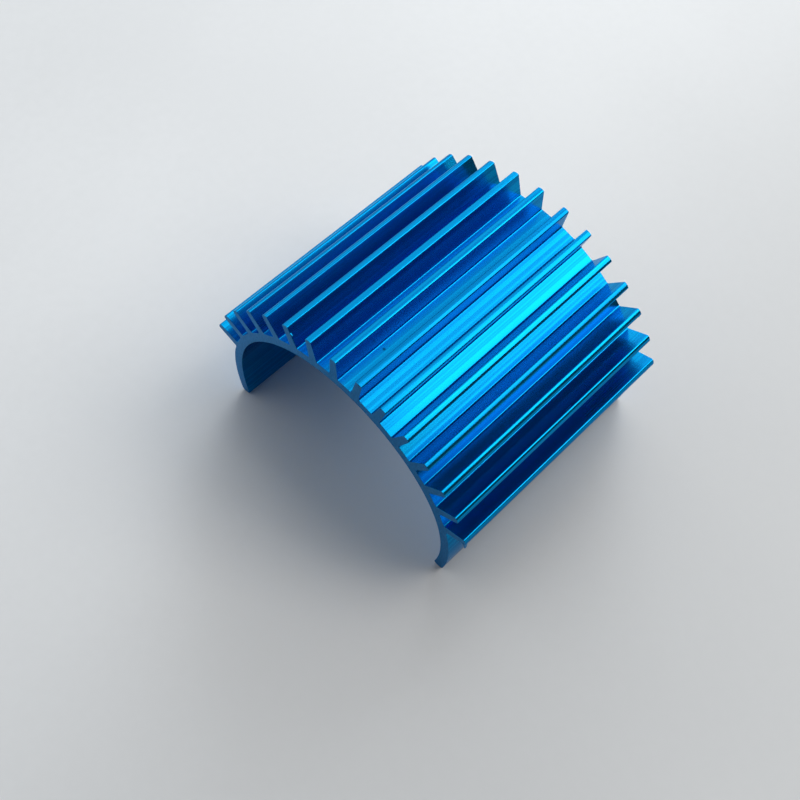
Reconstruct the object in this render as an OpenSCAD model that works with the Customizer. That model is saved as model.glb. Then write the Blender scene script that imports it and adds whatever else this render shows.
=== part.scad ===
// Clip-on heat sink for a round motor can.
// One straight aluminium extrusion: a thin sleeve that wraps the can like a
// saddle, open underneath between two springy legs, with radial cooling fins
// along its whole length. Both ends are plain saw cuts.
// Frame: the bore's axis is Y, and the origin lies on it halfway between the
// saw cuts. +Z points up through the crown.
// The section is drawn with its crown along +X, and its angles run from there.

/* [Sleeve] */
// Diameter of the motor can that the bore grips
bore_d = 36; // [24:0.5:60]
// Thickness of the sleeve under a channel's flat floor
wall = 1.3; // [0.9:0.05:3]
// Length of the extrusion between its saw cuts
length = 35.3; // [12:0.1:90]

/* [Legs] */
// Angle from the crown down to each leg's end
leg_angle = 106; // [85:1:150]
// How much thicker the round legs are than the sleeve under a floor
leg_swell = 0.06; // [0.04:0.01:0.3]
// Radius on the corners of each leg's end
leg_round = 0.45; // [0.1:0.05:0.6]

/* [Fins] */
// Number of fins, spread evenly about the crown
fin_count = 15; // [3:2:19]
// Angle between neighbouring fins
fin_pitch = 10.2; // [7:0.1:13.5]
// Height of a fin's crest above the channel floors
fin_h = 3.4; // [1:0.05:12]
// Thickness of a fin at the edges of its crest
fin_tip_t = 1; // [0.6:0.05:1.2]
// Thickness of a fin where it meets the sleeve
fin_root_t = 1.25; // [1.2:0.05:2]
// Height of a crest's crown above its two edges
fin_crown = 0.2; // [0.05:0.01:0.25]
// Radius of the fillets at a fin's root
fin_fillet = 0.25; // [0.05:0.01:0.5]

/* [Hidden] */
$fn = 96;

// Radii about the bore's axis
bore_r = bore_d / 2;
mid_wall_r = bore_r + wall / 2;
floor_r = bore_r + wall;
leg_outer_r = floor_r + leg_swell;
crest_r = floor_r + fin_h;
crest_edge_r = crest_r - fin_crown;
clear_r = 2 * crest_r;

// Angles from the crown: between a fin and a floor's middle, to the last fin
half_pitch = fin_pitch / 2;
last_fin = half_pitch * (fin_count - 1);

// Small arcs are seated closer to the faces that they round than their own
// radius, by this share, so that they cross them at a clear angle.
seat = 0.92;
leg_r = min(leg_round, 0.45 * wall);

// Point at radius r, at an angle from the crown
function polar(r, angle) = r * [cos(angle), sin(angle)];

// Where the lines p * n1 = d1 and p * n2 = d2 cross
function crossing(n1, d1, n2, d2) =
    [d1 * n2[1] - d2 * n1[1], d2 * n1[0] - d1 * n2[0]]
    / (n1[0] * n2[1] - n1[1] * n2[0]);

// The same place on the section's other side
function other_side(p) = [p[0], -p[1]];

// Half the thickness of a fin at a radius, on its straight flanks
flank_slope = (fin_root_t - fin_tip_t) / 2 / (crest_edge_r - floor_r);
function half_fin_t(r) = fin_tip_t / 2 + (crest_edge_r - r) * flank_slope;

// Outward normals of a fin's flank and of the floor beside it, and the centre
// of the fillet between the two
flank_n = polar(1, 90 - atan(flank_slope));
floor_n = polar(1, half_pitch);
fillet_gap = seat * fin_fillet;
fillet_c = crossing(flank_n, flank_n * [floor_r, fin_root_t / 2] + fillet_gap,
                    floor_n, floor_r + fillet_gap);

// Everything between two angles from the crown
module sector(from, to) {
    steps = ceil((to - from) / 45);
    polygon(concat([[0, 0]],
        [for (i = [0 : steps]) polar(clear_r, from + (to - from) * i / steps)]));
}

// A fin on the crown: tapered flanks, rounded over at the crest
module fin_blade() {
    crown_r = (pow(fin_tip_t / 2, 2) + pow(fin_crown, 2)) / 2 / fin_crown;
    top_r = crest_r + fin_crown;
    difference() {
        polygon([
            [mid_wall_r, -half_fin_t(mid_wall_r)],
            [top_r, -half_fin_t(top_r)],
            [top_r, half_fin_t(top_r)],
            [mid_wall_r, half_fin_t(mid_wall_r)]
        ]);
        difference() {
            translate([crest_r - crown_r, -fin_root_t])
                square([2 * crown_r, 2 * fin_root_t]);
            translate([crest_r - crown_r, 0]) circle(crown_r);
        }
    }
}

// The fillets on both sides of that fin's root
module fin_foot() {
    floor_foot = fillet_c - fillet_gap * floor_n;
    flank_foot = fillet_c - fillet_gap * flank_n;
    difference() {
        polygon([
            [mid_wall_r, 0],
            other_side(floor_foot), other_side(fillet_c), other_side(flank_foot),
            flank_foot, fillet_c, floor_foot
        ]);
        translate(fillet_c) circle(fin_fillet);
        translate(other_side(fillet_c)) circle(fin_fillet);
    }
}

// Flat channel floors from one side to the other, each fold under a fin
module floors() {
    floors_end = last_fin + half_pitch;
    polygon(concat(
        [[0, 0], polar(floor_r, -floors_end)],
        [for (i = [0 : fin_count - 1])
            polar(floor_r / cos(half_pitch), i * fin_pitch - last_fin)],
        [polar(floor_r, floors_end)]
    ));
}

// Both legs, round outside, from under the last fins to their square ends
module legs() {
    intersection() {
        circle(leg_outer_r);
        union() {
            sector(-leg_angle, -last_fin);
            sector(last_fin, leg_angle);
        }
    }
}

// What the rounding takes off one corner of a leg's end: out is 1 for the
// outer corner and -1 for the corner at the bore
module leg_corner(corner_r, out) {
    gap = seat * leg_r;
    centre_r = corner_r - out * gap;
    centre = polar(centre_r, leg_angle - asin(gap / centre_r));
    away = 2 * leg_r * out * centre / centre_r;
    past = polar(2 * leg_r, leg_angle + 90);
    difference() {
        polygon([centre, centre + away, centre + away + past, centre + past]);
        translate(centre) circle(leg_r);
    }
}

// The extrusion's section
module section() {
    difference() {
        union() {
            floors();
            legs();
            for (i = [0 : fin_count - 1]) rotate(i * fin_pitch - last_fin) {
                fin_blade();
                fin_foot();
            }
        }
        circle(bore_r);
        for (side = [0, 1]) mirror([0, side]) {
            leg_corner(leg_outer_r, 1);
            leg_corner(bore_r, -1);
        }
    }
}

module finned_sleeve() {
    color("dodgerblue")
        rotate([90, -90, 0])
            linear_extrude(length, center = true) section();
}

finned_sleeve();
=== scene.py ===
"""Clip-on finned sleeve for a round motor can, in blue anodised aluminium.

Laid out as an add-on: the sizes and colours are scene properties, each piece
has its operator, and a panel in the 3D view's sidebar lists them all.
"""
import math

import bmesh
import bpy
from bpy.props import FloatProperty, FloatVectorProperty, IntProperty, PointerProperty
from mathutils import Matrix, Vector


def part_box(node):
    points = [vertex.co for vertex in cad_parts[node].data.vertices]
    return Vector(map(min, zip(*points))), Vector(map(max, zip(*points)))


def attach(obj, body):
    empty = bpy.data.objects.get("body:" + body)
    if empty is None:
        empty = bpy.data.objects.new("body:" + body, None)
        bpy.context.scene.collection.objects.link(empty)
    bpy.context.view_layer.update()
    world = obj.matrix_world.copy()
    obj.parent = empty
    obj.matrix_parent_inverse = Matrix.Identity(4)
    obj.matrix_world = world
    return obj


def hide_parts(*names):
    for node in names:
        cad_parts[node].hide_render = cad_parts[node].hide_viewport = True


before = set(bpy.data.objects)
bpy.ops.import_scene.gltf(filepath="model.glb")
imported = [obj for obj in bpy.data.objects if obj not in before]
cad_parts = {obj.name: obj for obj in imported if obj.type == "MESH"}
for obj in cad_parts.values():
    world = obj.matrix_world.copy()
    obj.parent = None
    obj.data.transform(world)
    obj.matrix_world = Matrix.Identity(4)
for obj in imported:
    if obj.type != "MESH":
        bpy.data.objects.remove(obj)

bl_info = {
    "name": "Finned Motor Sleeve",
    "version": (1, 0, 0),
    "blender": (4, 5, 0),
    "location": "View3D > Sidebar > Finned Sleeve",
    "description": "Models a clip-on finned sleeve for a round motor can",
    "category": "Object",
}

MM = 0.001
BORE_RADIUS = 18.0 * MM
WALL = 1.3 * MM
CREST_GAP = 0.012 * MM      # how far the crown's crest stays inside the solid's box
CAD_LOW, CAD_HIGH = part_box("finned_sleeve")
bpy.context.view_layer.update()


# ---------------------------------------------------------------- properties

class SleeveSizes(bpy.types.PropertyGroup):
    """Sizes of the sleeve's section, and how its fins were knocked"""

    length: FloatProperty(
        name="Length", description="Length between the two saw cuts",
        default=CAD_HIGH[1] - CAD_LOW[1], min=0.01, unit="LENGTH", subtype="DISTANCE")
    bore_radius: FloatProperty(
        name="Bore radius", description="Radius of the motor can's seat",
        default=BORE_RADIUS, min=0.01, unit="LENGTH", subtype="DISTANCE")
    wall: FloatProperty(
        name="Wall", description="Thickness of the sleeve under a channel's floor",
        default=WALL, min=0.0005, unit="LENGTH", subtype="DISTANCE")
    leg_swell: FloatProperty(
        name="Leg swell", description="How much thicker the legs are than the wall",
        default=0.06 * MM, min=0.0, unit="LENGTH", subtype="DISTANCE")
    leg_angle: FloatProperty(
        name="Leg angle", description="Angle from the crown to a leg's end",
        default=math.radians(106.27), min=1.4, max=2.6, unit="ROTATION", subtype="ANGLE")
    leg_outer_round: FloatProperty(
        name="Leg outer round", description="Rounding of a leg's outer corner",
        default=0.65 * MM, min=0.0001, unit="LENGTH", subtype="DISTANCE")
    leg_inner_round: FloatProperty(
        name="Leg inner round", description="Rounding of a leg's corner at the bore",
        default=0.3 * MM, min=0.0001, unit="LENGTH", subtype="DISTANCE")
    fin_count: IntProperty(
        name="Fins", description="Number of fins, spread about the crown",
        default=15, min=3, max=25)
    fin_pitch: FloatProperty(
        name="Fin pitch", description="Angle between neighbouring fins",
        default=math.radians(10.2), min=0.1, max=0.3, unit="ROTATION", subtype="ANGLE")
    fin_height: FloatProperty(
        name="Fin height", description="Height of a crest above the channel floors",
        default=CAD_HIGH[2] - CREST_GAP - BORE_RADIUS - WALL,
        min=0.0005, unit="LENGTH", subtype="DISTANCE")
    fin_tip: FloatProperty(
        name="Fin tip", description="Thickness of a fin at its crest",
        default=0.97 * MM, min=0.0003, unit="LENGTH", subtype="DISTANCE")
    fin_root: FloatProperty(
        name="Fin root", description="Thickness of a fin at the sleeve",
        default=1.25 * MM, min=0.0003, unit="LENGTH", subtype="DISTANCE")
    crown_radius: FloatProperty(
        name="Crown radius", description="Radius of the crest's gently crowned middle",
        default=0.95 * MM, min=0.0003, unit="LENGTH", subtype="DISTANCE")
    crest_bevel: FloatProperty(
        name="Crest bevel", description="Width taken off a crest's corners",
        default=0.115 * MM, min=0.00001, unit="LENGTH", subtype="DISTANCE")
    root_fillet: FloatProperty(
        name="Root fillet", description="Rounding in the corners of a channel",
        default=0.17 * MM, min=0.00001, unit="LENGTH", subtype="DISTANCE")
    saw_chamfer: FloatProperty(
        name="Saw chamfer", description="Width broken off the sawn edges",
        default=0.03 * MM, min=0.000005, unit="LENGTH", subtype="DISTANCE")
    leans: FloatVectorProperty(
        name="Leans", description="How far each fin's crest was knocked over, from the left",
        subtype="TRANSLATION", unit="LENGTH", size=15,
        default=[lean * MM for lean in (
            0, 0, 0, -0.07, -0.2, -0.15, -0.09, 0, 0.07, 0, 0, -0.07, -0.14, 0, 0)])


class SleeveFinish(bpy.types.PropertyGroup):
    """Colours and gloss of the anodised skin and of the sawn ends"""

    skin_colour: FloatVectorProperty(
        name="Skin colour", description="Dyed oxide on the extruded faces",
        subtype="COLOR", size=3, min=0, max=1, default=(0.0, 0.28, 0.61))
    skin_deep: FloatVectorProperty(
        name="Skin deep colour", description="The dye where it took more strongly",
        subtype="COLOR", size=3, min=0, max=1, default=(0.0, 0.19, 0.47))
    skin_edge: FloatVectorProperty(
        name="Skin edge colour", description="Tint of the skin at a glancing angle",
        subtype="COLOR", size=3, min=0, max=1, default=(0.5, 0.7, 0.9))
    skin_roughness: FloatProperty(
        name="Skin roughness", description="Roughness of the extruded faces",
        default=0.22, min=0.02, max=1, subtype="FACTOR")
    pit_place: FloatVectorProperty(
        name="Pit", description="Where a small dark pit lies in a channel",
        subtype="TRANSLATION", unit="LENGTH", size=3,
        default=(1.41 * MM, -10.92 * MM, 19.25 * MM))
    pit_width: FloatProperty(
        name="Pit width", description="Width of the small dark pit",
        default=0.42 * MM, min=0.00001, unit="LENGTH", subtype="DISTANCE")
    cut_colour: FloatVectorProperty(
        name="Cut colour", description="Dye on the sawn ends",
        subtype="COLOR", size=3, min=0, max=1, default=(0.018, 0.208, 0.48))
    cut_deep: FloatVectorProperty(
        name="Cut deep colour", description="Dye in the saw's grooves",
        subtype="COLOR", size=3, min=0, max=1, default=(0.012, 0.15, 0.37))
    cut_edge: FloatVectorProperty(
        name="Cut edge colour", description="Tint of the sawn ends at a glancing angle",
        subtype="COLOR", size=3, min=0, max=1, default=(0.8, 0.88, 0.95))
    cut_roughness: FloatProperty(
        name="Cut roughness", description="Roughness of the sawn ends",
        default=0.5, min=0.02, max=1, subtype="FACTOR")


class StageSetup(bpy.types.PropertyGroup):
    """Floor, surround, lamps and camera"""

    floor_colour: FloatVectorProperty(
        name="Floor colour", description="Pale sheet that the sleeve stands on",
        subtype="COLOR", size=3, min=0, max=1, default=(0.768, 0.763, 0.778))
    floor_reach: FloatProperty(
        name="Floor reach", description="How far from the sleeve the sheet fades away",
        default=210 * MM, min=0.01, unit="LENGTH", subtype="DISTANCE")
    surround_colour: FloatVectorProperty(
        name="Surround colour", description="Tint of the light from all round",
        subtype="COLOR", size=3, min=0, max=1, default=(0.89, 0.96, 1.0))
    left_light: FloatProperty(
        name="Left light", description="Brightness of the surround's left side",
        default=1.15, min=0, max=3)
    right_light: FloatProperty(
        name="Right light", description="Brightness of the surround's right side",
        default=0.04, min=0, max=3)
    backdrop_light: FloatProperty(
        name="Backdrop light", description="Brightness of the pale backdrop behind the floor",
        default=0.78, min=0, max=3)
    shade_light: FloatProperty(
        name="Shade light", description="Brightness near the floor at the right, in the shade",
        default=0.16, min=0, max=3)
    lamp_distance: FloatProperty(
        name="Lamp distance", description="How far every lamp hangs from the sleeve",
        default=500 * MM, min=0.05, unit="LENGTH", subtype="DISTANCE")
    key_radiance: FloatProperty(
        name="Key brightness", description="Brightness of the soft key lamp's face",
        default=3.6, min=0, max=20)
    spill_radiance: FloatProperty(
        name="Spill brightness", description="Brightness of the wide lamp in front of the key",
        default=1.15, min=0, max=20)
    fill_radiance: FloatProperty(
        name="Fill brightness", description="Brightness of the lamp at the rear left",
        default=3.4, min=0, max=20)
    key_colour: FloatVectorProperty(
        name="Key colour", description="Tint of the key lamp and of its spill",
        subtype="COLOR", size=3, min=0, max=1, default=(1.0, 0.96, 0.88))
    camera_aim: FloatVectorProperty(
        name="Camera aim", description="Point that the camera looks at",
        subtype="TRANSLATION", unit="LENGTH", size=3,
        default=(-0.944 * MM, -5.238 * MM, -1.912 * MM))
    camera_distance: FloatProperty(
        name="Camera distance", description="From the aim to the camera",
        default=155.0 * MM, min=0.01, unit="LENGTH", subtype="DISTANCE")
    camera_azimuth: FloatProperty(
        name="Camera azimuth", description="Camera's turn about the upright, from -Y",
        default=math.radians(42.20), unit="ROTATION", subtype="ANGLE")
    camera_elevation: FloatProperty(
        name="Camera elevation", description="Camera's height above level",
        default=math.radians(59.51), unit="ROTATION", subtype="ANGLE")
    camera_roll: FloatProperty(
        name="Camera roll", description="Camera's turn about its own axis",
        default=math.radians(2.56), unit="ROTATION", subtype="ANGLE")
    camera_lens: FloatProperty(
        name="Camera lens", description="Focal length in millimetres",
        default=52.45, min=10, max=300)


# ------------------------------------------------------------ modelling tools

def pick(kind, test):
    """Selects only the corners, edges or faces of the open mesh that pass a test."""
    bpy.ops.mesh.select_mode(type=kind)
    bpy.ops.mesh.select_all(action="DESELECT")
    data = bpy.context.edit_object.data
    mesh = bmesh.from_edit_mesh(data)
    parts = {"VERT": mesh.verts, "EDGE": mesh.edges, "FACE": mesh.faces}[kind]
    found = [part for part in parts if test(part)]
    if not found:
        raise RuntimeError("nothing to work on was found where it should be")
    for part in found:
        part.select_set(True)
    mesh.select_flush_mode()
    bmesh.update_edit_mesh(data)
    return len(found)


def near(a, b, slack=0.002 * MM):
    """Whether two sizes are the same, to within two thousandths of a millimetre or a slack."""
    return abs(a - b) < slack


def about_axis(point):
    """A point's angle from the crown about the bore's axis, and its radius."""
    return math.atan2(point.x, point.z), math.hypot(point.x, point.z)


def cut(place, normal, **options):
    """Cuts what is selected along a plane."""
    bpy.ops.mesh.bisect(plane_co=place, plane_no=normal, **options)


def cut_all(place, normal, **options):
    """Cuts the whole open mesh along a plane."""
    bpy.ops.mesh.select_all(action="SELECT")
    cut(place, normal, **options)


def shift(x=0.0, y=0.0, z=0.0, **options):
    """Moves what is selected."""
    bpy.ops.transform.translate(value=(x, y, z), orient_type="GLOBAL", **options)


def outward(angle, radius=1.0):
    """The point at a radius from the bore's axis, at an angle from the crown."""
    return Vector((math.sin(angle) * radius, 0.0, math.cos(angle) * radius))


def turn_about_bore(angle, centre=(0, 0, 0)):
    """Turns what is selected from the crown towards +X, about the bore or a line like it."""
    bpy.ops.transform.rotate(
        value=-angle, orient_axis="Y", orient_type="GLOBAL", center_override=centre)


# ------------------------------------------------------------------ the sleeve

def model_crown_fin(s):
    """Models the fin at the crown on its share of the wall, from a block."""
    half = s.fin_pitch / 2
    floor_r = s.bore_radius + s.wall
    crest = floor_r + s.fin_height
    low = s.bore_radius * math.cos(half)
    spare = 0.4 * MM        # stands proud of the finished faces until they're cut
    high = floor_r + spare
    bpy.ops.mesh.primitive_cube_add(
        size=1, location=(0, 0, (low + high) / 2),
        scale=(2 * high * math.tan(half) + spare, s.length, high - low))
    bpy.ops.object.transform_apply(location=True, rotation=True, scale=True)
    bpy.ops.object.mode_set(mode="EDIT")
    bpy.ops.mesh.select_mode(type="FACE")

    # The two channel floors beside the fin, each square to its own middle
    for side in (-1, 1):
        floor_n = outward(side * half)
        cut_all(floor_n * floor_r, floor_n, clear_outer=True, use_fill=True)

    # The fin grows out of a strip along the middle, and thins towards its crest
    pick("FACE", lambda f: f.normal.z > 0.5)
    cut((-s.fin_root / 2, 0, 0), (1, 0, 0))
    pick("FACE", lambda f: f.normal.z > 0.5)
    cut((s.fin_root / 2, 0, 0), (1, 0, 0))
    pick("FACE", lambda f: f.normal.z > 0.5
         and abs(f.calc_center_median().x) < s.fin_root / 2)
    bpy.ops.mesh.extrude_region_move(
        TRANSFORM_OT_translate={"value": (0, 0, s.fin_height)})
    pick("VERT", lambda v: v.co.z > floor_r + s.fin_height / 2)
    bpy.ops.transform.resize(
        value=(s.fin_tip / s.fin_root, 1, 0), center_override=(0, 0, crest))

    # The crest is gently crowned: strips along it step down from its middle
    strips = 3                      # on each side of the middle
    reach = 0.36 * s.fin_tip        # they end before the rounded corners
    step = reach / strips

    def on_crest(f):
        return f.normal.z > 0.5 and f.calc_center_median().z > crest - 0.1 * MM

    for k in range(-strips, strips + 1):
        if k:
            pick("FACE", on_crest)
            cut((k * step, 0, 0), (1, 0, 0))
    lines = [k * step for k in range(1, strips + 1)] + [s.fin_tip / 2]
    for x in lines:
        pick("VERT", lambda v: near(v.co.z, crest) and near(abs(v.co.x), x))
        shift(z=-x * x / (2 * s.crown_radius))

    # Each end becomes one face again
    pick("FACE", lambda f: abs(f.normal.y) > 0.9)
    bpy.ops.mesh.dissolve_faces()

    # Rounded crest corners and channel corners
    edge_z = crest - s.fin_tip ** 2 / (8 * s.crown_radius)
    pick("EDGE", lambda e: all(
        near(abs(v.co.x), s.fin_tip / 2) and near(v.co.z, edge_z) for v in e.verts))
    bpy.ops.mesh.bevel(offset=s.crest_bevel, segments=5, profile=0.5, affect="EDGES")
    root_z = (floor_r - s.fin_root / 2 * math.sin(half)) / math.cos(half)
    pick("EDGE", lambda e: all(
        near(abs(v.co.x), s.fin_root / 2) and near(v.co.z, root_z) for v in e.verts))
    bpy.ops.mesh.bevel(offset=s.root_fillet, segments=5, profile=0.5, affect="EDGES")

    # The underside takes the bore's curve
    parts = 6       # flats across one fin's share of the bore
    for k in range(1, parts):
        pick("FACE", lambda f: f.normal.z < -0.9)
        cut((0, 0, 0), outward(-half + k * s.fin_pitch / parts + math.pi / 2))
    # Both sides stay open, where the next fins' blocks join on
    for side in (-1, 1):
        cut_all((0, 0, 0), outward(side * (half + math.pi / 2)), clear_outer=True)
    for k in range(1, parts):
        angle = -half + k * s.fin_pitch / parts
        flat = low * math.tan(angle)
        pick("VERT", lambda v: near(v.co.z, low) and near(v.co.x, flat))
        to = outward(angle, s.bore_radius)
        shift(x=to.x - flat, z=to.z - low)


def copy_fins_round(s):
    """Turns the crown's fin to the first place and copies it round the bore."""
    first = -s.fin_pitch * (s.fin_count - 1) / 2
    bpy.ops.mesh.select_all(action="SELECT")
    turn_about_bore(first)
    bpy.ops.mesh.select_all(action="SELECT")
    bpy.ops.mesh.spin(
        steps=s.fin_count - 1, dupli=True, angle=-2 * first,
        center=(0, 0, 0), axis=(0, -1, 0))
    bpy.ops.mesh.select_all(action="SELECT")
    bpy.ops.mesh.remove_doubles(threshold=0.002 * MM)


def fin_angle(s, place):
    """A fin's angle from the crown, by its place from the left."""
    return s.fin_pitch * (place - (s.fin_count + 1) / 2)


def lean_fins(s):
    """Leans the fins that were knocked out of true, from their roots."""
    floor_r = s.bore_radius + s.wall
    for place in range(1, min(s.fin_count, len(s.leans)) + 1):
        lean = s.leans[place - 1]
        angle = fin_angle(s, place)

        def on_crest(v):
            around, r = about_axis(v.co)
            return abs(around - angle) < s.fin_pitch / 2 and r > floor_r + s.fin_height / 2

        if lean:
            pick("VERT", on_crest)
            turn_about_bore(lean / s.fin_height, outward(angle, floor_r))


def raise_burr(s, place, radii, along, push):
    """Draws a burr out of a fin's right flank, between two radii and two lengths."""
    tip = 0.4       # the burr's tip as a share of its root
    angle = fin_angle(s, place)
    out = outward(angle)
    flank = outward(angle + math.pi / 2)

    def on_flank(f):
        around, r = about_axis(f.calc_center_median())
        return (f.normal.dot(flank) > 0.95 and abs(around - angle) < s.fin_pitch / 2
                and r > s.bore_radius + s.wall)

    for radius in radii:
        pick("FACE", on_flank)
        cut(out * radius, out)
    for y in along:
        pick("FACE", on_flank)
        cut((0, y, 0), (0, 1, 0))
    pick("FACE", lambda f: on_flank(f)
         and radii[0] < f.calc_center_median().dot(out) < radii[1]
         and along[0] < f.calc_center_median().y < along[1])
    bpy.ops.mesh.extrude_region_move(TRANSFORM_OT_translate={"value": push})
    middle = out * sum(radii) / 2 + flank * s.fin_tip / 2 + Vector(push)
    middle.y = sum(along) / 2
    bpy.ops.transform.resize(value=(tip, tip, tip), center_override=middle)


def leave_burrs(s):
    """The saw's burrs: a spur in front under the last fin, small ones elsewhere.

    A burr is given in millimetres: how far below the crest its root begins and
    ends, how far it lies from the sawn end, and how far its tip is pushed out.
    """
    crest = s.bore_radius + s.wall + s.fin_height
    half = s.length / 2

    def burr(place, below, inward, end, push):
        radii = [crest - depth * MM for depth in below]
        along = sorted(end * (half - depth * MM) for depth in inward)
        raise_burr(s, place, radii, along, [step * MM for step in push])

    front, rear = -1, 1
    burr(15, (0.62, 0.26), (0.12, 0.62), front, (0.12, -0.05, -1.3))
    burr(6, (1.35, 1.05), (0.04, 0.2), front, (0.3, 0, -0.05))
    for place, drop in ((13, 0.18), (14, 0.25), (15, 0.3)):
        burr(place, (0.5, 0.22), (0.06, 0.4), rear, (0, 0, -drop))


def model_leg(s, side):
    """Spins one open side of the finned part on round the bore, down to the leg's end."""
    start = side * s.fin_pitch * s.fin_count / 2
    end = side * s.leg_angle
    floor_r = s.bore_radius + s.wall
    outer_r = floor_r + s.leg_swell

    def lies_at(v, place, radius=None):
        """Whether a corner is at an angle from the crown, and at a radius if one is given."""
        angle, r = about_axis(v.co)
        slack = 0.02 * MM
        return (near(angle * r, place * r, slack)
                and (radius is None or near(r, radius, slack)))

    pick("VERT", lambda v: lies_at(v, start, floor_r))
    swell = outward(start, s.leg_swell)
    shift(x=swell.x, z=swell.z)
    pick("EDGE", lambda e: e.is_boundary and all(lies_at(v, start) for v in e.verts))
    bpy.ops.mesh.spin(steps=16, angle=end - start, center=(0, 0, 0), axis=(0, -1, 0))
    pick("EDGE", lambda e: e.is_boundary and all(lies_at(v, end) for v in e.verts))
    bpy.ops.mesh.edge_face_add()
    for radius, rounding in ((outer_r, s.leg_outer_round), (s.bore_radius, s.leg_inner_round)):
        pick("EDGE", lambda e: all(lies_at(v, end, radius) for v in e.verts))
        bpy.ops.mesh.bevel(offset=rounding, segments=6, profile=0.5, affect="EDGES")


def break_sawn_edges(s):
    """Takes the sharpness off every edge that the saw left."""
    half = s.length / 2

    def is_sawn(e):
        if not all(near(abs(v.co.y), half) for v in e.verts):
            return False
        ends = [abs(f.normal.y) > 0.9 for f in e.link_faces]
        return len(ends) == 2 and ends[0] != ends[1]

    pick("EDGE", is_sawn)
    bpy.ops.mesh.bevel(
        offset=s.saw_chamfer, segments=2, profile=0.5, affect="EDGES", clamp_overlap=True)


def build_sleeve(s):
    """Models the whole sleeve as one closed mesh."""
    bpy.ops.object.select_all(action="DESELECT")
    model_crown_fin(s)
    copy_fins_round(s)
    for side in (-1, 1):
        model_leg(s, side)
    bpy.ops.mesh.select_all(action="SELECT")
    bpy.ops.mesh.remove_doubles(threshold=0.001 * MM)
    bpy.ops.mesh.select_all(action="SELECT")
    bpy.ops.mesh.normals_make_consistent(inside=False)
    lean_fins(s)
    break_sawn_edges(s)
    leave_burrs(s)
    bpy.ops.mesh.select_all(action="DESELECT")
    bpy.ops.object.mode_set(mode="OBJECT")
    sleeve = bpy.context.object
    sleeve.name = "heat_sink_sleeve"
    sleeve.data.name = "heat_sink_sleeve"
    return sleeve


# ------------------------------------------------------------------- finishes

class NodeTree:
    """Shorthand for building a tree of shader nodes."""

    def __init__(self, tree):
        self.tree = tree

    def add(self, kind, settings=None, **inputs):
        """A new node, with its inputs set or linked by their names."""
        node = self.tree.nodes.new(kind)
        for key, value in (settings or {}).items():
            setattr(node, key, value)
        for key, value in inputs.items():
            self.put(node.inputs[key.replace("_", " ")], value)
        return node

    def put(self, socket, value):
        """Links a node's output to an input, or sets the input to a value."""
        if isinstance(value, bpy.types.NodeSocket):
            self.tree.links.new(value, socket)
        else:
            socket.default_value = value

    def object_place(self, scale):
        """Object coordinates, stretched by a scale along each axis."""
        coords = self.add("ShaderNodeTexCoord")
        mapping = self.add("ShaderNodeMapping", Vector=coords.outputs["Object"])
        mapping.inputs["Scale"].default_value = scale
        return mapping.outputs["Vector"]

    def noise(self, scale, detail=2.0, roughness=0.5):
        """Noise on the object, with so many spots to the metre along each axis."""
        node = self.add("ShaderNodeTexNoise", Vector=self.object_place(scale), Scale=1.0,
                        Detail=detail, Roughness=roughness)
        return node.outputs["Fac"]

    def ramp(self, value, low, high, to_low=0.0, to_high=1.0):
        """A soft step from one value to another, as the input goes from low to high."""
        node = self.add("ShaderNodeMapRange", {"interpolation_type": "SMOOTHSTEP"}, Value=value)
        for key, number in (("From Min", low), ("From Max", high),
                            ("To Min", to_low), ("To Max", to_high)):
            node.inputs[key].default_value = number
        return node.outputs["Result"]

    def blend(self, amount, first, second):
        """A colour between two colours."""
        node = self.add("ShaderNodeMix", {"data_type": "RGBA"})
        self.put(node.inputs[0], amount)
        self.put(node.inputs[6], first)
        self.put(node.inputs[7], second)
        return node.outputs[2]

    def spot(self, place, radius):
        """1 in a small round spot about a place on the object, 0 away from it."""
        coords = self.add("ShaderNodeTexCoord")
        away = self.add("ShaderNodeVectorMath", {"operation": "DISTANCE"})
        self.put(away.inputs[0], coords.outputs["Object"])
        self.put(away.inputs[1], place)
        return self.ramp(away.outputs["Value"], 0.5 * radius, 1.2 * radius, 1.0, 0.0)

    def looked_at(self):
        """1 on the way from the camera, off something glossy or through something clear."""
        path = self.add("ShaderNodeLightPath").outputs
        seen = self.math("MAXIMUM", path["Is Camera Ray"], path["Is Glossy Ray"])
        return self.math("MAXIMUM", seen, path["Is Transmission Ray"])

    def mix(self, amount, first, second):
        """A number between two numbers."""
        node = self.add("ShaderNodeMix", {"data_type": "FLOAT"})
        self.put(node.inputs[0], amount)
        self.put(node.inputs[2], first)
        self.put(node.inputs[3], second)
        return node.outputs[0]

    def math(self, kind, first, second):
        """Two numbers added, multiplied or compared."""
        node = self.add("ShaderNodeMath", {"operation": kind})
        self.put(node.inputs[0], first)
        self.put(node.inputs[1], second)
        return node.outputs[0]


class Finish(NodeTree):
    """A new material around one shader."""

    def __init__(self, name):
        self.material = bpy.data.materials.new(name)
        self.material.use_nodes = True
        super().__init__(self.material.node_tree)
        self.shader = self.tree.nodes["Principled BSDF"]

    def surface(self, **inputs):
        """Sets or links the shader's inputs by their names."""
        for key, value in inputs.items():
            self.put(self.shader.inputs[key.replace("_", " ")], value)


def rgba(colour):
    """A colour with full cover."""
    return (*colour, 1.0)


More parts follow.
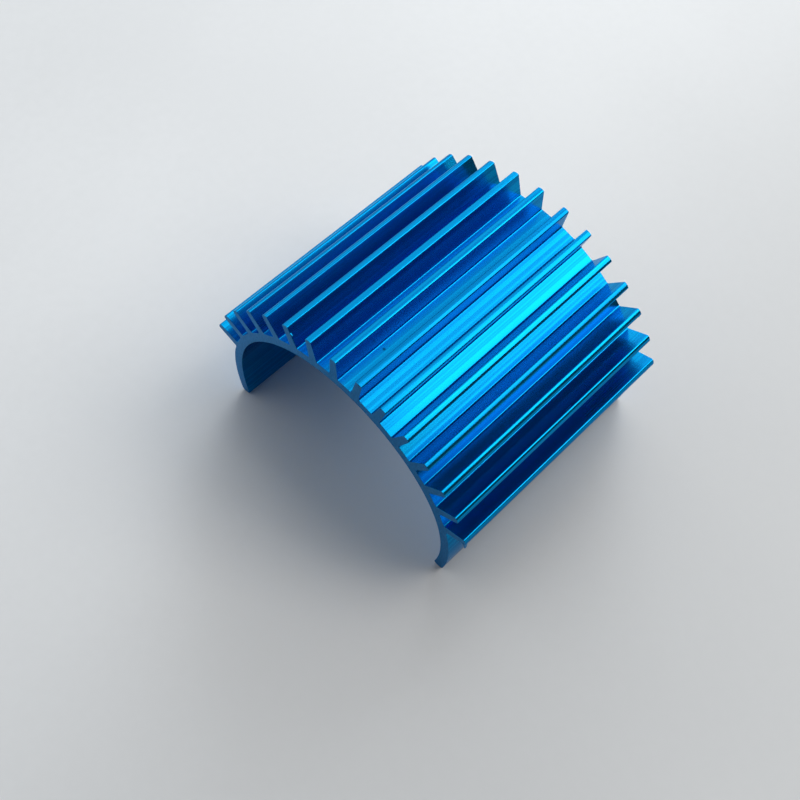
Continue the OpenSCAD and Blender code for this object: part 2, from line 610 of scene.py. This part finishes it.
def anodised_skin(f):
    """Dyed oxide over drawn aluminium: fine die lines run along the sleeve."""
    n = Finish("anodised_skin")
    fine_lines = n.noise((3300, 4, 3300), detail=0.0)
    broad_lines = n.noise((1200, 3, 1200), detail=0.0)
    clouds = n.noise((160, 60, 160), detail=2.0)

    # The dye took unevenly along the die lines, and a small pit is dark
    streaks = n.math("ADD", n.math("MULTIPLY", fine_lines, 0.6),
                     n.math("MULTIPLY", broad_lines, 0.4))
    dye = n.blend(n.ramp(streaks, 0.38, 0.6), rgba(f.skin_deep), rgba(f.skin_colour))
    pit = n.spot(f.pit_place, f.pit_width / 2)
    pit_dye = rgba([c * 0.35 for c in f.skin_deep])

    # The gloss changes a little from line to line and from place to place
    gloss_lines = n.ramp(fine_lines, 0.3, 0.7, 0.03, -0.03)
    gloss_clouds = n.ramp(clouds, 0.3, 0.7, f.skin_roughness - 0.02, f.skin_roughness + 0.03)
    bump = n.add("ShaderNodeBump", Height=broad_lines, Strength=0.015, Distance=0.02 * MM)
    n.surface(Base_Color=n.blend(pit, dye, pit_dye), Metallic=0.92,
              Roughness=n.math("ADD", gloss_lines, gloss_clouds), Normal=bump.outputs["Normal"],
              Specular_Tint=rgba(f.skin_edge))
    return n.material


def sawn_end(f):
    """The saw's matt face: short scratches across the section, dyed like the rest."""
    n = Finish("sawn_end")
    scratches = n.noise((9000, 1000, 1500), detail=4.0, roughness=0.7)
    grain = n.noise((7000, 7000, 7000), detail=3.0, roughness=0.6)
    colour = n.blend(n.ramp(scratches, 0.35, 0.7), rgba(f.cut_deep), rgba(f.cut_colour))
    height = n.math("ADD", scratches, grain)
    bump = n.add("ShaderNodeBump", Height=height, Strength=0.35, Distance=0.02 * MM)
    rough = n.ramp(grain, 0.3, 0.7, f.cut_roughness - 0.05, f.cut_roughness + 0.08)
    n.surface(Base_Color=colour, Metallic=0.94, Roughness=rough, Normal=bump.outputs["Normal"],
              Specular_Tint=rgba(f.cut_edge))
    return n.material


# ------------------------------------------------------------------ the stage

def lay_floor(stage, height):
    """A wide pale sheet under the sleeve."""
    bpy.ops.object.select_all(action="DESELECT")
    bpy.ops.mesh.primitive_plane_add(size=6.0, location=(0, 0, height))
    bpy.ops.object.transform_apply(location=True, rotation=True, scale=True)
    floor = bpy.context.object
    floor.name = "floor_sheet"
    n = Finish("pale_sheet")

    def toned(share):
        """The sheet's colour, made paler or darker."""
        return rgba([min(1.0, c * share) for c in stage.floor_colour])

    # Painted light and shade: the sheet's colour is paler at the left and darker at the right, in
    # place of the light falling from the left; it is also faintly mottled
    across = n.add("ShaderNodeSeparateXYZ", Vector=n.object_place((1, 1, 1)))
    painted_light_tone = n.blend(n.ramp(across.outputs["X"], -70 * MM, 60 * MM), toned(1.2), toned(0.88))
    mottle = n.noise((14, 14, 14), detail=3.0)
    grain = n.noise((700, 700, 700), detail=2.0)
    patchy = n.ramp(n.math("ADD", mottle, n.math("MULTIPLY", grain, 0.2)), 0.4, 0.8)
    n.surface(Base_Color=n.blend(n.math("MULTIPLY", patchy, 0.1), painted_light_tone, toned(0.6)), Roughness=0.6)

    # Far from the sleeve the sheet fades into the backdrop
    near_by = n.spot((0, 0, height), stage.floor_reach)
    fade = n.math("MULTIPLY", n.looked_at(), n.math("SUBTRACT", 1.0, near_by))
    faded = n.add("ShaderNodeMixShader", Fac=fade)
    n.put(faded.inputs[1], n.shader.outputs["BSDF"])
    n.put(faded.inputs[2], n.add("ShaderNodeBsdfTransparent").outputs["BSDF"])
    n.put(n.tree.nodes["Material Output"].inputs["Surface"], faded.outputs["Shader"])
    floor.data.materials.append(n.material)
    return floor


def hang_lamp(name, across, rearward, distance, width, depth, radiance, colour):
    """An oblong soft lamp facing the sleeve, with its face at a brightness.

    It hangs at an angle across the bore, from above towards +X, and at an
    angle along the bore, towards the rear. Both angles are in degrees.
    """
    across, rearward = math.radians(across), math.radians(rearward)
    side = Vector((math.cos(across), 0.0, -math.sin(across)))
    away = outward(across, math.cos(rearward))
    away.y = math.sin(rearward)
    data = bpy.data.lights.new(name, "AREA")
    data.shape = "RECTANGLE"
    data.size = width
    data.size_y = depth
    data.energy = radiance * math.pi * width * depth
    data.color = colour
    lamp = bpy.data.objects.new(name, data)
    lamp.location = away * distance
    lamp.rotation_euler = Matrix((side, away.cross(side), away)).transposed().to_euler()
    lamp.visible_camera = False
    bpy.context.scene.collection.objects.link(lamp)
    return lamp


def soft_surround(stage):
    """Pale light that fades from the left side to the right, over a pale backdrop.

    The camera sees the plain backdrop all round. What is glossy shows it low at
    the left, and above and at the right it shows the light and the shade there.
    """
    world = bpy.data.worlds.new("soft_surround")
    world.use_nodes = True
    n = NodeTree(world.node_tree)
    way = n.add("ShaderNodeSeparateXYZ", Vector=n.add("ShaderNodeTexCoord").outputs["Generated"])
    rightward, rearward, upward = way.outputs

    # The light from above, first in front and then at the rear
    left, right = stage.left_light, stage.right_light
    front = n.ramp(rightward, -1.1, 0.2, 0.9 * left, right)
    rear = n.ramp(rightward, 0.05, 0.6, left, right)
    dome = n.mix(n.ramp(rearward, 0.0, 0.5), front, rear)

    # Near the floor the backdrop gives way to the shade at the right
    low = n.ramp(upward, 0.04, 0.13, 1.0, 0.0)
    horizon = n.ramp(rightward, -0.2, 0.9, stage.backdrop_light, stage.shade_light)
    light = n.mix(low, dome, horizon)

    # Where the plain backdrop itself is seen
    path = n.add("ShaderNodeLightPath").outputs
    low_left = n.math("MULTIPLY", low, n.ramp(rightward, -0.3, 0.1, 1.0, 0.0))
    shown = n.math("MULTIPLY", path["Is Glossy Ray"], low_left)
    for ray in ("Is Camera Ray", "Is Transmission Ray"):
        shown = n.math("MAXIMUM", shown, path[ray])
    background = n.tree.nodes["Background"]
    background.inputs["Color"].default_value = rgba(stage.surround_colour)
    n.put(background.inputs["Strength"], n.mix(shown, light, stage.backdrop_light))
    bpy.context.scene.world = world


def set_camera(stage):
    """The camera, turned by azimuth, elevation and roll about its aim."""
    az, el, roll = stage.camera_azimuth, stage.camera_elevation, stage.camera_roll
    back = Vector((math.sin(az) * math.cos(el), -math.cos(az) * math.cos(el), math.sin(el)))
    level_right = Vector((math.cos(az), math.sin(az), 0.0))
    level_up = back.cross(level_right)
    right = math.cos(roll) * level_right + math.sin(roll) * level_up
    up = back.cross(right)
    data = bpy.data.cameras.new("camera")
    data.lens = stage.camera_lens
    data.sensor_width = 36.0
    data.clip_start = 0.005
    data.clip_end = 50.0
    camera = bpy.data.objects.new("camera", data)
    camera.location = Vector(stage.camera_aim) + back * stage.camera_distance
    camera.rotation_euler = Matrix((right, up, back)).transposed().to_euler()
    bpy.context.scene.collection.objects.link(camera)
    bpy.context.scene.camera = camera


# ------------------------------------------------------------------ operators

class SLEEVE_OT_stage(bpy.types.Operator):
    """Lays the floor and sets up the lamps, the surroundings and the camera"""

    bl_idname = "sleeve.stage"
    bl_label = "Stage"

    def execute(self, context):
        stage = context.scene.sleeve_stage
        set_camera(stage)
        floor = lay_floor(stage, CAD_LOW[2])
        soft_surround(stage)
        hang_lamp("key_lamp", across=32, rearward=30.5, distance=stage.lamp_distance,
                  width=360 * MM, depth=190 * MM,
                  radiance=stage.key_radiance, colour=stage.key_colour)
        hang_lamp("key_spill", across=20, rearward=14.5, distance=stage.lamp_distance,
                  width=680 * MM, depth=130 * MM,
                  radiance=stage.spill_radiance, colour=stage.key_colour)
        hang_lamp("fill_lamp", across=-52, rearward=52, distance=stage.lamp_distance,
                  width=500 * MM, depth=200 * MM,
                  radiance=stage.fill_radiance, colour=stage.surround_colour)
        context.scene.view_settings.view_transform = "Standard"
        return {"FINISHED"}


class SLEEVE_OT_sleeve(bpy.types.Operator):
    """Models the finned sleeve and gives it its anodised finish"""

    bl_idname = "sleeve.sleeve"
    bl_label = "Finned sleeve"

    def execute(self, context):
        sizes = context.scene.sleeve_sizes
        finish = context.scene.sleeve_finish
        sleeve = build_sleeve(sizes)
        sleeve.data.materials.append(anodised_skin(finish))
        sleeve.data.materials.append(sawn_end(finish))
        for face in sleeve.data.polygons:
            if abs(face.normal.y) > 0.9:        # a sawn end
                face.material_index = 1
        bpy.ops.object.shade_smooth_by_angle(angle=math.radians(32))
        bpy.ops.object.modifier_add(type="WEIGHTED_NORMAL")
        sleeve.modifiers[-1].keep_sharp = True
        bpy.ops.object.modifier_apply(modifier=sleeve.modifiers[-1].name)
        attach(sleeve, "root")
        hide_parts("finned_sleeve")
        return {"FINISHED"}


class SLEEVE_PT_panel(bpy.types.Panel):
    """Sizes, finish and stage of the finned sleeve"""

    bl_idname = "SLEEVE_PT_panel"
    bl_label = "Finned Sleeve"
    bl_space_type = "VIEW_3D"
    bl_region_type = "UI"
    bl_category = "Finned Sleeve"

    def draw(self, context):
        scene = context.scene
        for group in (scene.sleeve_sizes, scene.sleeve_finish, scene.sleeve_stage):
            box = self.layout.box()
            for name in group.__annotations__:
                box.prop(group, name)
        for operator in (SLEEVE_OT_stage, SLEEVE_OT_sleeve):
            self.layout.operator(operator.bl_idname)


CLASSES = (
    SleeveSizes, SleeveFinish, StageSetup, SLEEVE_OT_stage, SLEEVE_OT_sleeve, SLEEVE_PT_panel,
)


def register():
    for cls in CLASSES:
        bpy.utils.register_class(cls)
    bpy.types.Scene.sleeve_sizes = PointerProperty(type=SleeveSizes)
    bpy.types.Scene.sleeve_finish = PointerProperty(type=SleeveFinish)
    bpy.types.Scene.sleeve_stage = PointerProperty(type=StageSetup)


def unregister():
    del bpy.types.Scene.sleeve_stage
    del bpy.types.Scene.sleeve_finish
    del bpy.types.Scene.sleeve_sizes
    for cls in reversed(CLASSES):
        bpy.utils.unregister_class(cls)


def main():
    register()
    bpy.ops.sleeve.stage()
    bpy.ops.sleeve.sleeve()


if __name__ == "__main__":
    main()
